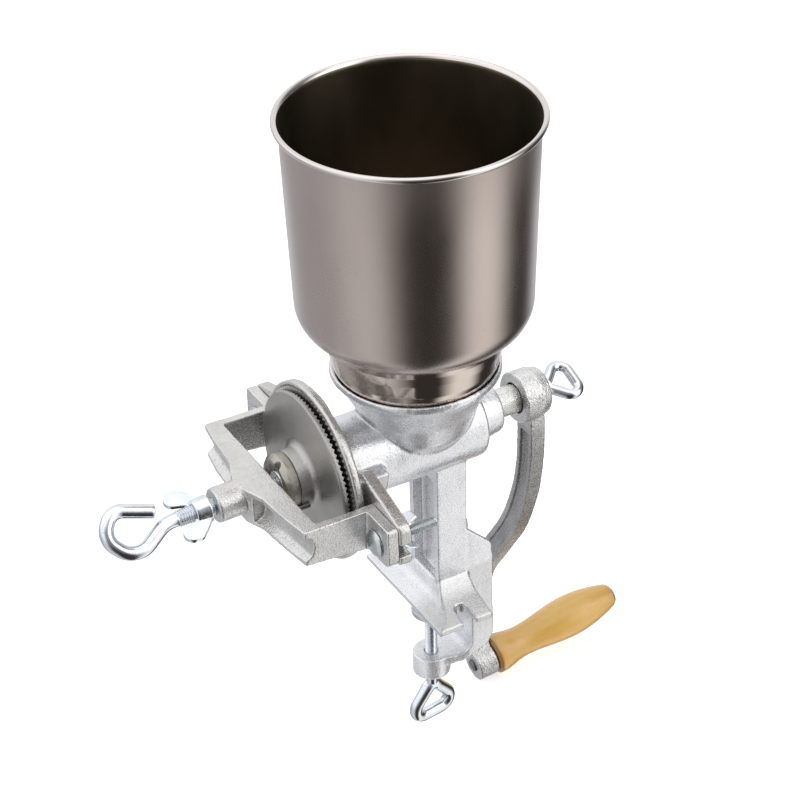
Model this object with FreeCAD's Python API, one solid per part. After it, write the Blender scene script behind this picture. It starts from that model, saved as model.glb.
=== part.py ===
import FreeCAD, Part
import math
import os

V = FreeCAD.Vector

# Hand-cranked grain mill with a table clamp.
# Sizes in millimetres. The pieces are drawn about the crossing of the shaft
# axis (Y, towards the crank) and the hopper axis (Z, up), then moved so that
# the origin is on the underside of the table jaw, on the clamp screw's axis.

# ---- driving dimensions -------------------------------------------------
JAW_UNDER = -119.0          # underside of the table jaw
CLAMP_Y = 6.2               # clamp screw axis
MOVE = V(0.0, -CLAMP_Y, -JAW_UNDER)

HOP_RIM_R, HOP_RIM_TUBE, HOP_RIM_Z = 73.25, 1.75, 207.9
HOP_TOP_R, HOP_LOW_R, HOP_LOW_Z = 71.4, 68.1, 96.5
HOP_WALL = 0.8
SPIGOT_R = 47.5

CUP_R, CUP_Z, CUP_SEAT_R, CUP_SEAT_Z = 49.8, 51.5, 47.9, 47.4
BARREL_R, BARREL_END = 25.1, 35.7
CHAMBER_R = 20.5
BOSS_R0, BOSS_R1, BOSS_END = 17.8, 15.6, 51.4
SHAFT_R, BEARING_R = 8.9, 8.95
FLANGE_R, FLANGE_F, FLANGE_B = 54.3, -71.0, -65.8

BURR_R, BURR_F, BURR_B = 49.6, -76.6, -72.6
BURR_BOSS_R, BURR_BOSS_F = 17.8, -86.4
FIX_R, FIX_IN_R, FIX_F, FIX_B = 51.5, 20.5, -72.1, -68.5   # sits in a recess of the flange
FIX_SCREW_PCD_R = 37.0

COLLAR_R, COLLAR_F = 17.5, -94.6
DOG_X, DOG_Z, DOG_R = 15.6, -9.8, 1.8
PIN_Y = -88.9                         # cross pin through the collar and shaft
PIN_D = (0.62, 0.0, -0.7846)
BALL_Y, BALL_R = -95.6, 4.0

EAR_F, EAR_B = -62.4, -54.6          # body ears, front and back
YEAR_F = -69.4                        # yoke ears, front
BOLT_X, BOLT_Z = 71.3, -6.1
BOLT_R, BOLT_END = 3.0, -31.5

YOKE_X0, YOKE_X1 = 56.0, 61.6         # side arms, inner and outer
YOKE_IN, YOKE_TOP, YOKE_BOT = -98.6, 10.1, -12.7
YOKE_BOSS_R, YOKE_BOSS_F = 10.5, -134.0

ADJ_R, ROD_R = 5.0, 4.25              # M10 thread, bent rod
ADJ_PITCH = 1.5
CRANK_BOSS_F, CRANK_BOSS_B, CRANK_BOSS_R = 67.2, 86.0, 16.2
ARM_IN_TOP, ARM_IN_LOW, ARM_T, ARM_W = 74.0, 78.6, 10.6, 15.6   # arm clears the hopper rim
LOW_X, LOW_Z = -46.7, -246.3          # handle boss of the crank
LOW_F, LOW_B, LOW_R = 66.0, 80.5, 11.4
TOE = math.radians(6.8)               # handle leans towards the shaft axis
GRIP_LEN = 97.0

CLAMP_R, CLAMP_BORE = 4.0, 4.05       # M8 clamp screw
PAD_R, PAD_TOP, PAD_BOT = 12.0, -134.5, -138.5
CBOSS_R, CBOSS_TOP, CBOSS_BOT = 12.0, -170.2, -186.0
WIRE_R = 3.3

RUN = 0.05                            # radial running clearance


# ---- small helpers ------------------------------------------------------
def sub(a, b):
    return (a[0] - b[0], a[1] - b[1])


def unit(a):
    n = math.hypot(a[0], a[1])
    return (a[0] / n, a[1] / n)


def rounded(pts, f, closed=True):
    """Line-and-arc wire: each point is (u, v) or (u, v, corner radius)."""
    n = len(pts)
    corners = []
    for i in range(n):
        b = pts[i][:2]
        rad = pts[i][2] if len(pts[i]) > 2 else 0.0
        if rad <= 0 or (not closed and i in (0, n - 1)):
            corners.append((b, None, b))
            continue
        d1 = unit(sub(pts[i - 1][:2], b))
        d2 = unit(sub(pts[(i + 1) % n][:2], b))
        ang = math.acos(max(-1.0, min(1.0, d1[0] * d2[0] + d1[1] * d2[1])))
        t = rad / math.tan(ang / 2)
        bis = unit((d1[0] + d2[0], d1[1] + d2[1]))
        k = rad / math.sin(ang / 2) - rad
        corners.append(((b[0] + d1[0] * t, b[1] + d1[1] * t),
                        (b[0] + bis[0] * k, b[1] + bis[1] * k),
                        (b[0] + d2[0] * t, b[1] + d2[1] * t)))
    edges = []
    for i in range(n):
        tin, mid, tout = corners[i]
        if mid is not None:
            edges.append(Part.Arc(f(*tin), f(*mid), f(*tout)).toShape())
        if not closed and i == n - 1:
            break
        nxt = corners[(i + 1) % n][0]
        if math.hypot(nxt[0] - tout[0], nxt[1] - tout[1]) > 1e-6:
            edges.append(Part.LineSegment(f(*tout), f(*nxt)).toShape())
    return Part.Wire(edges)


def on_xy(z):
    return lambda u, v: V(u, v, z)


def on_xz(y):
    return lambda u, v: V(u, y, v)


def on_yz(x):
    return lambda u, v: V(x, u, v)


def prism(pts, f, vec):
    return Part.Face(rounded(pts, f)).extrude(V(*vec))


def rev_y(pts):
    return Part.Face(rounded(pts, lambda r, y: V(r, y, 0))).revolve(V(0, 0, 0), V(0, 1, 0), 360)


def rev_z(pts):
    return Part.Face(rounded(pts, lambda r, z: V(r, 0, z))).revolve(V(0, 0, 0), V(0, 0, 1), 360)


def cyl(r, h, p, d):
    return Part.makeCylinder(r, h, V(*p), V(*d))


def block(x0, x1, y0, y1, z0, z1):
    return Part.makeBox(x1 - x0, y1 - y0, z1 - z0, V(x0, y0, z0))


def join(first, *rest):
    return first.fuse(list(rest)).removeSplitter()


def mirror_x(s):
    return s.mirror(V(0, 0, 0), V(1, 0, 0))


def tube(wire, r, start, tangent):
    circ = Part.Wire(Part.Circle(V(*start), V(*tangent), r).toShape())
    return wire.makePipeShell([circ], True, True)


def one(s):
    sols = s.Solids
    return sols[0] if len(sols) == 1 else s


out = {}

# ---- mill body: one casting --------------------------------------------
barrel = rev_y([(0, -62), (BARREL_R, -62), (BARREL_R, BARREL_END, 2.6), (BOSS_R0, BARREL_END, 1.2),
                (BOSS_R1, BOSS_END, 1.4), (0, BOSS_END)])
flange = rev_y([(0, FLANGE_F), (FLANGE_R, FLANGE_F, 0.7), (FLANGE_R, FLANGE_B, 1.2), (42.0, -64.2, 3),
                (29.0, -61.6, 5), (BARREL_R, -54.0), (0, -54.0)])
cup = rev_z([(0, CUP_Z), (CUP_R, CUP_Z, 1.5), (CUP_R, 47.2, 1.2), (45.4, 42.4, 2.5), (36.8, 25.5, 10),
             (31.5, 10.0, 6), (23.0, -2.0), (0, -2.0)])

ear = prism([(28, 12), (43.2, 21.6, 2), (83.6, 9.6, 2.5), (86, 6, 1.5), (86, -16.5, 4), (62, -19, 6), (28, -24)],
            on_xz(EAR_F), (0, EAR_B - EAR_F, 0))
slot = join(cyl(4.0, 20, (BOLT_X, -68, BOLT_Z), (0, 1, 0)), block(BOLT_X, 95, -68, -48, BOLT_Z - 4, BOLT_Z + 4))
ear = ear.cut(slot)
root = prism([(20, 13), (40.5, 20.4), (47, 18.2), (47, -18), (20, -22)], on_xz(-67.5), (0, 5.5, 0))
gusset = prism([(-58, 19.0), (-47.0, 19.0), (-36.8, 4.2), (-41.0, -13.5, 1.2), (-58, -17.5)], on_yz(14.0), (17.6, 0, 0))
gusset = gusset.common(prism([(14.0, -20.0), (31.6, -20.0), (31.6, 4.2, 1.2), (23.4, 8.6), (14.0, 12.5)], on_xz(-60), (0, 30, 0)))

column = block(-16.3, 16.3, 2.74, 23.7, JAW_UNDER, -12)
front_recess = prism([(-11.8, -116), (11.8, -116), (11.8, -29), (-11.8, -29)], on_xz(1.0), (0, 8.2, 0))
back_recess = prism([(-11.0, -116), (11.0, -116), (11.0, -30, 4), (-11.0, -30, 4)], on_xz(15.2), (0, 20.0, 0))
column = column.cut(front_recess).cut(back_recess)

plate_pts = [(16, -56), (23.7, -56), (23.7, -70.2, 2), (41.4, -88.2, 6), (42.4, -104), (42.4, -160.5, 4), (38.4, -167.8, 4),
             (14, -176.5), (CLAMP_Y, -176.5), (CLAMP_Y, CBOSS_TOP), (26.6, CBOSS_TOP, 10), (26.6, JAW_UNDER), (16, JAW_UNDER)]
plate = prism(plate_pts, on_yz(11.3), (5.0, 0, 0))
band = prism([(26.6, JAW_UNDER + 3), (26.6, CBOSS_TOP, 10), (CLAMP_Y, CBOSS_TOP), (CLAMP_Y, CBOSS_TOP - 5.6),
              (32.2, CBOSS_TOP - 5.6, 15.6), (32.2, JAW_UNDER + 3)], on_yz(-16.3), (32.6, 0, 0))
clamp_c = join(plate, mirror_x(plate), band)
outline = prism([(-16.3, 60), (-16.3, 24, 14), (-12.0, 9), (-12.0, -10), (12.0, -10), (12.0, 9), (16.3, 24, 14), (16.3, 60)],
                on_xy(-200), (0, 0, 300))
clamp_c = clamp_c.common(outline)

apron = prism([(-45.3, JAW_UNDER), (45.3, JAW_UNDER), (45.3, -115.2, 0.8), (26.4, -110.0, 26), (17.3, -103.2, 0.6), (10.0, -103.2), (-10.0, -103.2),
               (-17.3, -103.2, 0.6), (-26.4, -110.0, 26), (-45.3, -115.2, 0.8)], on_xz(-13.6), (0, 37.3, 0))
front_cut = prism([(-20, -115.6), (-13.6, -115.5), (-3.2, -113.2, 13), (2.74, -103.4), (2.74, -90), (-20, -90)],
                  on_yz(-60), (120, 0, 0))
jaw = apron.cut(front_cut)
jaw = jaw.cut(block(-11.0, 11.0, 15.2, 40, -116, -90))
for sx in (1, -1):
    notch = join(cyl(4.4, 60, (sx * 36.0, 7.4, -140), (0, 0, 1)),
                 block(min(sx * 36.0, sx * 60.0), max(sx * 36.0, sx * 60.0), 3.0, 11.8, -140, -80))
    jaw = jaw.cut(notch)

clamp_boss = cyl(CBOSS_R, CBOSS_TOP - CBOSS_BOT, (0, CLAMP_Y, CBOSS_BOT), (0, 0, 1))

body = join(barrel, flange, cup, ear, mirror_x(ear), root, mirror_x(root), gusset, mirror_x(gusset), column, clamp_c, jaw, clamp_boss)
throat = rev_z([(0, 60), (CUP_SEAT_R, 60), (CUP_SEAT_R, CUP_SEAT_Z), (42.5, CUP_SEAT_Z), (19.0, 11.0), (19.0, 0), (0, 0)])
chamber = rev_y([(0, -75), (CHAMBER_R, -75), (CHAMBER_R, 31.5, 3), (BEARING_R, 31.5), (BEARING_R, 60), (0, 60)])
body = body.cut(throat).cut(chamber)
body = body.cut(cyl(FIX_R + RUN, 6.0, (0, FIX_B - 6.0, 0), (0, 1, 0)))
body = body.cut(cyl(CLAMP_BORE, 40, (0, CLAMP_Y, -200), (0, 0, 1)))
screw_at = []
for k in range(3):
    a = math.radians(90 + 120 * k)
    screw_at.append((FIX_SCREW_PCD_R * math.cos(a), FIX_SCREW_PCD_R * math.sin(a)))
for sx, sz in screw_at:
    body = body.cut(cyl(2.5, 7.6, (sx, -72, sz), (0, 1, 0)))
out["mill_body"] = one(body)

# ---- hopper: spun bowl, rolled rim, open neck ---------------------------
# outside corners of the bowl and neck, each with its bend radius
outer = [(HOP_TOP_R, 206.0), (67.66, 81.35, 20.0), (52.4, 77.2, 1.6), (51.1, 71.6, 5.0), (50.7, 66.0, 9.0), (49.5, 57.6, 8.0), (47.8, 52.2)]


def offset_in(pts, d):
    """The same bent line, d further in; its bends stay concentric."""
    res = []
    for i, p in enumerate(pts):
        dirs = []
        if i > 0:
            dirs.append(unit(sub(p, pts[i - 1])))
        if i < len(pts) - 1:
            dirs.append(unit(sub(pts[i + 1], p)))
        m = unit((sum(t[1] for t in dirs), sum(-t[0] for t in dirs)))
        k = d / (m[0] * dirs[0][1] - m[1] * dirs[0][0])
        q = (p[0] + m[0] * k, p[1] + m[1] * k)
        if len(p) > 2:
            turn = dirs[0][0] * dirs[1][1] - dirs[0][1] * dirs[1][0]
            q += (p[2] + (d if turn > 0 else -d),)
        res.append(q)
    return res


inner = offset_in(outer, HOP_WALL)
spigot = [(SPIGOT_R, 51.4), (SPIGOT_R, CUP_SEAT_Z), (SPIGOT_R - HOP_WALL, CUP_SEAT_Z), (SPIGOT_R - HOP_WALL, 51.6)]
shell = rev_z(outer + spigot + inner[::-1])
lip = rev_z([(HOP_TOP_R - HOP_WALL, 205.5), (HOP_TOP_R - 0.05, 205.5), (71.95, 207.4), (71.95, 208.6), (HOP_TOP_R - HOP_WALL + 0.1, 208.0)])
rim = Part.makeTorus(HOP_RIM_R, HOP_RIM_TUBE, V(0, 0, HOP_RIM_Z), V(0, 0, 1))
out["hopper"] = one(join(shell, lip, rim))

# ---- auger: feed worm and drive shaft -----------------------------------
core = rev_y([(0, -94.0), (7.4, -94.0), (7.95, -93.4), (7.95, -66.0), (8.0, -64.0), (8.0, 24.0), (SHAFT_R, 26.0), (SHAFT_R, 73.0),
              (0, 73.0)])
seat = block(-6.0, 6.0, 72.0, 84.0, -6.0, 6.0)
WORM_PITCH, WORM_A, WORM_B, WORM_R = 27.0, -60.0, 21.0, 19.6
helix = Part.makeHelix(WORM_PITCH, WORM_B - WORM_A, 6.0)
prof = Part.makePolygon([V(6.0, 0, -2.6), V(WORM_R, 0, -1.4), V(WORM_R, 0, 1.4), V(6.0, 0, 2.6), V(6.0, 0, -2.6)])
flight = Part.Wire(helix.Edges).makePipeShell([prof], True, True)
if flight.Volume < 0:
    flight.reverse()
flight.rotate(V(0, 0, 0), V(1, 0, 0), -90)
flight.translate(V(0, WORM_A, 0))
auger = join(core, seat, flight)
auger = auger.cut(Part.makeSphere(BALL_R + RUN, V(0, BALL_Y, 0)))
auger = auger.cut(cyl(CLAMP_R + RUN, 30, (0, 60, 0), (0, 1, 0)))
auger = auger.cut(cyl(2.05, 40, (-20 * PIN_D[0], PIN_Y, -20 * PIN_D[2]), PIN_D))
out["auger"] = one(auger)

# ---- burrs --------------------------------------------------------------
rot = rev_y([(8.0, BURR_BOSS_F), (BURR_BOSS_R - 1.2, BURR_BOSS_F, 1.2), (BURR_BOSS_R, BURR_F - 2.6, 2.0), (BURR_BOSS_R + 3.4, BURR_F),
             (BURR_R, BURR_F, 1.0), (BURR_R, BURR_B), (30.0, BURR_B), (24.0, BURR_B - 1.6), (8.0, BURR_B - 1.6)])
rot = rot.cut(cyl(DOG_R + 0.02, 6.0, (DOG_X, BURR_BOSS_F - 1, DOG_Z), (0, 1, 0)))
out["rotating_burr"] = one(rot)

fix = rev_y([(FIX_IN_R, FIX_F + 1.6), (30.0, FIX_F), (FIX_R, FIX_F), (FIX_R, FIX_B), (FIX_IN_R, FIX_B)])
for sx, sz in screw_at:
    fix = fix.cut(cyl(2.6, 14, (sx, -75, sz), (0, 1, 0)))
    fix = fix.cut(Part.makeCone(5.0, 2.6, 2.8, V(sx, FIX_F + 0.6, sz), V(0, 1, 0)))
    fix = fix.cut(cyl(5.0, 2.0, (sx, FIX_F + 0.6 - 2.0, sz), (0, 1, 0)))
out["fixed_burr"] = one(fix)

screws = []
for sx, sz in screw_at:
    s = join(Part.makeCone(4.9, 2.5, 2.8, V(sx, FIX_F + 0.65, sz), V(0, 1, 0)), cyl(2.45, 6.8, (sx, FIX_F + 0.7, sz), (0, 1, 0)))
    s = s.cut(block(sx - 6, sx + 6, FIX_F, FIX_F + 1.9, sz - 0.6, sz + 0.6))
    screws.append(one(s))
out["fixed_burr_screws"] = Part.makeCompound(screws)

# ---- drive collar, pin, dog, ball --------------------------------------
collar = rev_y([(8.0, BURR_BOSS_F), (COLLAR_R, BURR_BOSS_F, 1.0), (COLLAR_R, -91.8, 2.0), (14.8, COLLAR_F, 0.8), (12.0, COLLAR_F), (10.6, -92.6),
                (8.0, -92.6)])
collar = collar.cut(cyl(DOG_R + 0.02, 20, (DOG_X, -100, DOG_Z), (0, 1, 0)))
collar = collar.cut(cyl(2.05, 40, (-20 * PIN_D[0], PIN_Y, -20 * PIN_D[2]), PIN_D))
collar = collar.cut(cyl(2.7, 20, (2.8, -94.9, 10.0), (0.12, 0, 1)))
out["drive_collar"] = one(collar)
out["cross_pin"] = cyl(2.0, 33.0, (-16.5 * PIN_D[0], PIN_Y, -16.5 * PIN_D[2]), PIN_D)
out["drive_dog"] = cyl(DOG_R, 12.6, (DOG_X, -94.0, DOG_Z), (0, 1, 0))
out["thrust_ball"] = Part.makeSphere(BALL_R, V(0, BALL_Y, 0))

# ---- yoke ---------------------------------------------------------------
bar = prism([(-YOKE_X0, YOKE_IN), (YOKE_X0, YOKE_IN), (YOKE_X1, YOKE_IN), (YOKE_X1, -108.2, 1.0), (45, -110.9), (20, -113.2, 6), (8, -118),
             (-8, -118), (-20, -113.2, 6), (-45, -110.9), (-YOKE_X1, -108.2, 1.0), (-YOKE_X1, YOKE_IN)], on_xy(YOKE_BOT),
            (0, 0, YOKE_TOP - YOKE_BOT))
arm = prism([(-108.2, YOKE_TOP), (EAR_F, YOKE_TOP - 0.6), (EAR_F, -17.2), (-80, -15.6), (-108.2, YOKE_BOT)], on_yz(YOKE_X0),
            (YOKE_X1 - YOKE_X0, 0, 0))
year = prism([(YOKE_X0, 9.4), (85.0, 9.4, 2.5), (85.0, -16.2, 5.0), (YOKE_X0, -17.2)], on_xz(YEAR_F), (0, EAR_F - YEAR_F, 0))
yboss = rev_y([(0, YOKE_IN), (YOKE_BOSS_R, YOKE_IN), (YOKE_BOSS_R, YOKE_BOSS_F, 1.6), (0, YOKE_BOSS_F)])
yoke = join(bar, arm, mirror_x(arm), year, mirror_x(year), yboss)
# hollowed front faces of the two halves of the bar
ang = math.atan2(5.0, 48.0)
for sx in (1, -1):
    c = Part.Face(rounded([(-4.0, 6.7), (0.2, 6.7), (4.6, 4.6, 3.0), (6.4, -1.4, 8.0), (4.6, -7.4, 3.0), (0.2, -10.0), (-4.0, -10.0)],
                          on_yz(0))).extrude(V(60, 0, 0))
    c.rotate(V(0, 0, 0), V(0, 0, 1), math.degrees(ang))
    c.translate(V(13.5, -113.7, 0))
    yoke = yoke.cut(c if sx > 0 else mirror_x(c))
yoke = yoke.cut(cyl(ADJ_R + RUN, 60, (0, -140, 0), (0, 1, 0)))
for sx in (1, -1):
    bx = sx * BOLT_X
    yoke = yoke.cut(block(bx - 3.1, bx + 3.1, -75, -60, BOLT_Z - 3.1, BOLT_Z + 3.1))
out["yoke"] = one(yoke)

# ---- yoke bolts and wing nuts ------------------------------------------
for name, sx in (("right", 1), ("left", -1)):
    bx = sx * BOLT_X
    head = Part.Face(rounded([(0, YEAR_F), (8.25, YEAR_F), (8.1, YEAR_F - 0.9), (6.2, YEAR_F - 2.6), (3.4, YEAR_F - 3.4), (0, YEAR_F - 3.6)],
                             lambda r, y: V(r, y, 0))).revolve(V(0, 0, 0), V(0, 1, 0), 360)
    head.translate(V(bx, 0, BOLT_Z))
    neck = block(bx - 3.0, bx + 3.0, YEAR_F - 0.2, YEAR_F + 4.0, BOLT_Z - 3.0, BOLT_Z + 3.0)
    shank = cyl(BOLT_R, BOLT_END - YEAR_F, (bx, YEAR_F, BOLT_Z), (0, 1, 0))
    out["yoke_bolt_" + name] = one(join(head, neck, shank))

    hub = rev_y([(0, EAR_B), (5.4, EAR_B, 0.4), (4.7, EAR_B + 4.8, 0.8), (0, EAR_B + 4.8)])
    wing = prism([(EAR_B + 0.05, 3.4), (EAR_B + 0.05, 5.6, 1.6), (EAR_B + 3.2, 8.2, 4.0), (EAR_B + 9.6, 10.9), (EAR_B + 10.2, 9.6),
                  (EAR_B + 4.0, 7.0, 3.4), (EAR_B + 1.5, 5.0, 1.0), (EAR_B + 1.5, 3.4)], on_yz(-5.6), (11.2, 0, 0))
    wing = wing.common(prism([(-3.6, 0), (3.6, 0), (5.2, 6.6, 3.0), (4.2, 11.4, 3.2), (-4.2, 11.4, 3.2), (-5.2, 6.6, 3.0)], on_xz(EAR_B - 1), (0, 14, 0)))
    wing2 = wing.copy()
    wing2.rotate(V(0, 0, 0), V(0, 1, 0), 180)
    nut = join(hub, wing, wing2).cut(cyl(BOLT_R + RUN, 40, (0, -70, 0), (0, 1, 0)))
    nut.rotate(V(0, 0, 0), V(0, 1, 0), -8.0 if sx > 0 else -14.0)
    nut.translate(V(bx, 0, BOLT_Z))
    out["yoke_wing_nut_" + name] = one(nut)

# ---- adjusting screw with open eye, and its lock nut --------------------
EYE = (-0.617, 0.787)                  # eye's cross direction in X and Z


def eye_pt(y, t):
    return V(EYE[0] * t, y, EYE[1] * t)


eye_path = rounded([(-150.0, 0.0), (-164.0, 0.0, 18.0), (-186.0, -14.4, 13.5), (-200.4, 3.0, 10.5), (-191.0, 16.6, 8.5), (-168.4, 8.9)],
                   eye_pt, closed=False)
eye = tube(eye_path, ROD_R, (0, -150.0, 0), (0, -1, 0))
thread = rev_y([(0, -97.6), (3.8, -97.6), (ADJ_R, -98.8), (ADJ_R, -156.4), (ROD_R - 0.4, -157.8), (0, -157.8)])
adj = join(eye, thread).cut(Part.makeSphere(BALL_R + RUN, V(0, BALL_Y, 0)))
out["adjusting_screw"] = one(adj)

hub = rev_y([(0, -137.2), (8.4, -137.2, 0.6), (7.2, -146.6, 1.2), (0, -146.6)])
wing = prism([(-138.4, 4.0), (-138.4, 8.6, 2.5), (-143.6, 14.4, 6.0), (-148.6, 19.0, 5.0), (-158.4, 18.6, 5.6), (-158.6, 9.2, 5.2), (-148.6, 6.6, 4.0),
              (-146.2, 4.0)], on_yz(-1.4), (2.8, 0, 0))
wing2 = wing.copy()
wing2.rotate(V(0, 0, 0), V(0, 1, 0), 180)
lock = join(hub, wing, wing2).cut(cyl(ADJ_R + RUN, 60, (0, -170, 0), (0, 1, 0)))
lock.rotate(V(0, 0, 0), V(0, 1, 0), 104.5)
out["adjusting_wing_nut"] = one(lock)

# ---- crank --------------------------------------------------------------
upper = rev_y([(0, CRANK_BOSS_F), (CRANK_BOSS_R, CRANK_BOSS_F, 0.6), (CRANK_BOSS_R, 79, 8), (14.2, CRANK_BOSS_B, 1.6), (0, CRANK_BOSS_B)])


def side_path(off):
    """Edge of the S-shaped arm, set off across its width."""
    pts = [(0.0, 4.0), (0.0, -83.3), (-76.4, -197.0), (LOW_X, LOW_Z)]
    res = []
    for i, p in enumerate(pts):
        dirs = []
        if i > 0:
            dirs.append(unit(sub(p, pts[i - 1])))
        if i < len(pts) - 1:
            dirs.append(unit(sub(pts[i + 1], p)))
        nx = sum(-d[1] for d in dirs)
        nz = sum(d[0] for d in dirs)
        m = unit((nx, nz))
        d = dirs[0]
        k = off / (m[0] * -d[1] + m[1] * d[0])
        res.append((p[0] + m[0] * k, p[1] + m[1] * k))
    return res


def strip(half, r1, r2):
    a = side_path(half)
    b = side_path(-half)
    return [a[0], a[1] + (r1 + half,), a[2] + (r2 - half,), a[3], b[3], b[2] + (r2 + half,), b[1] + (r1 - half,), b[0]]


arm_s = prism(strip(ARM_W / 2, 180.0, 64.0), on_xz(60.0), (0, 40.0, 0))
side = prism([(ARM_IN_TOP, 10), (ARM_IN_LOW, -212, 12), (LOW_F + 2.4, -236, 12), (LOW_F + 2.4, -262), (LOW_B - 1.2, -262), (LOW_B - 1.2, -238, 30),
              (ARM_IN_LOW + 8.6, -198, 30), (ARM_IN_TOP + ARM_T, 10)], on_yz(-90), (180, 0, 0))
arm_s = arm_s.common(side)
lower = rev_y([(0, LOW_F), (LOW_R, LOW_F, 0.8), (LOW_R, LOW_B, 0.8), (0, LOW_B)])
lower.rotate(V(0, LOW_F, 0), V(1, 0, 0), math.degrees(TOE))
lower.translate(V(LOW_X, 0, LOW_Z))
crank = join(upper, arm_s, lower)
groove = prism(strip(ARM_W / 2 - 3.6, 180.0, 64.0), on_xz(60.0), (0, 40.0, 0))
groove = groove.common(prism([(60, -27), (ARM_IN_TOP + 2.8, -27, 1.2), (ARM_IN_LOW + 3.0, -205), (60, -205)], on_yz(-90), (180, 0, 0)))
crank = crank.cut(groove)
crank = crank.cut(cyl(9.8, 6.0, (0, CRANK_BOSS_F - 1, 0), (0, 1, 0)))
crank = crank.cut(cyl(8.96, 3.0, (0, 71.0, 0), (0, 1, 0)))
crank = crank.cut(block(-6.05, 6.05, 70.0, 84.1, -6.05, 6.05))
crank = crank.cut(cyl(4.4, 30, (0, 75.0, 0), (0, 1, 0)))
crank = crank.cut(cyl(15, 12, (0, CRANK_BOSS_B + 0.02, 0), (0, 1, 0)))

# spindle line: from the middle of the handle boss, leaning by the toe angle
SP = V(0, math.cos(TOE), math.sin(TOE))


def on_spindle(s):
    return V(LOW_X, LOW_F, LOW_Z) + SP * s


SPIN_R = 4.0
bore = Part.makeCylinder(SPIN_R + 0.02, 20, on_spindle(-2), SP)
crank = crank.cut(bore)
grip_front = LOW_B - LOW_F + 0.6
crank = crank.cut(Part.makeCylinder(14.6, 30, on_spindle(grip_front - 0.5), SP))
out["crank_arm"] = one(crank)

spindle = Part.makeCylinder(SPIN_R, grip_front + GRIP_LEN + 1.6, on_spindle(0.2), SP)
rivet = Part.makeCylinder(4.6, 0.8, on_spindle(-0.8), SP)
spindle = spindle.fuse(Part.makeCylinder(SPIN_R, 1.2, on_spindle(-0.4), SP)).fuse(rivet).removeSplitter()
cap_at = grip_front + GRIP_LEN + 0.4
out["handle_spindle"] = one(spindle)

# wood grip: collar, waist, swell, tapered end
g = [(SPIN_R + RUN, 0), (12.9, 0), (13.5, 1.6), (13.5, 5.6), (13.1, 9.0), (11.8, 15.0), (10.9, 22.0), (11.2, 31.0), (12.8, 44.0), (14.2, 57.0), (14.3, 66.0),
     (13.2, 77.0), (11.1, 87.0), (9.1, 94.0), (8.1, GRIP_LEN), (SPIN_R + RUN, GRIP_LEN)]
gc = Part.BSplineCurve()
gc.interpolate([V(r, s, 0) for r, s in g[3:15]])
ge = [Part.LineSegment(V(g[k][0], g[k][1], 0), V(g[k + 1][0], g[k + 1][1], 0)).toShape() for k in (0, 1, 2)]
ge.append(gc.toShape())
ge.append(Part.LineSegment(V(g[14][0], g[14][1], 0), V(g[15][0], g[15][1], 0)).toShape())
ge.append(Part.LineSegment(V(g[15][0], g[15][1], 0), V(g[0][0], g[0][1], 0)).toShape())
grip = Part.Face(Part.Wire(ge)).revolve(V(0, 0, 0), V(0, 1, 0), 360)
grip.rotate(V(0, 0, 0), V(1, 0, 0), math.degrees(TOE))
grip.translate(on_spindle(grip_front))
out["handle_grip"] = one(grip)

cap = Part.Face(rounded([(SPIN_R + 0.02, 0), (7.2, 0), (6.6, 1.2, 0.8), (SPIN_R + 0.02, 1.2)], lambda r, s: V(r, s, 0))).revolve(
    V(0, 0, 0), V(0, 1, 0), 360)
cap.rotate(V(0, 0, 0), V(1, 0, 0), math.degrees(TOE))
cap.translate(on_spindle(cap_at))
out["handle_cap"] = one(cap)


# ---- loop screws --------------------------------------------------------
def loop(apex, base, half, r, wire, f, start_tangent):
    """Closed wire triangle: apex on the axis, base across it."""
    mid = base
    pts = [(mid, 0.0), (mid, half, r), (apex, 0.0, max(r * 0.55, wire * 1.1)), (mid, -half, r)]
    w = rounded(pts, f)
    return tube(w, wire, f(mid, 0.0), start_tangent)


CE = unit((0.93, -0.36))


def crank_pt(y, t):
    return V(CE[0] * t, y, CE[1] * t)


cl = loop(89.8, 109.8, 19.2, 6.0, WIRE_R, crank_pt, (CE[0], 0, CE[1]))
cs = cyl(CLAMP_R, 32.0, (0, 61.0, 0), (0, 1, 0))
cs_collar = cyl(6.0, 1.6, (0, CRANK_BOSS_B + 0.05, 0), (0, 1, 0))
out["crank_screw"] = one(join(cl, cs, cs_collar))


def clamp_pt(z, t):
    return V(-0.117 * t, CLAMP_Y + 0.993 * t, z)


kl = loop(-196.0, -221.8, 21.0, 7.0, 4.1, clamp_pt, (-0.117, 0.993, 0))
ks = cyl(CLAMP_R, 61.4, (0, CLAMP_Y, -197.4), (0, 0, 1))
out["clamp_screw"] = one(join(kl, ks))

pad = rev_z([(0, PAD_TOP), (PAD_R, PAD_TOP, 0.8), (PAD_R, PAD_BOT, 0.6), (7.0, PAD_BOT - 2.2), (0, PAD_BOT - 2.2)])
pad.translate(V(0, CLAMP_Y, 0))
pad = pad.cut(cyl(CLAMP_R + RUN, 4.8, (0, CLAMP_Y, PAD_BOT - 2.3), (0, 0, 1)))
out["clamp_pad"] = one(pad)

# ---- write --------------------------------------------------------------
os.makedirs("parts", exist_ok=True)
for name, shape in out.items():
    s = shape.copy()
    s.translate(MOVE)
    s.exportStep("parts/" + name + ".step")
    bb = s.BoundBox
    print("%-22s solids %d valid %s vol %9.1f  x %.1f..%.1f y %.1f..%.1f z %.1f..%.1f" % (
        name, len(s.Solids), s.isValid(), s.Volume, bb.XMin, bb.XMax, bb.YMin, bb.YMax, bb.ZMin, bb.ZMax))
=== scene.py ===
import math

import bpy
import numpy as np
from mathutils import Matrix, Vector, noise


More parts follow.
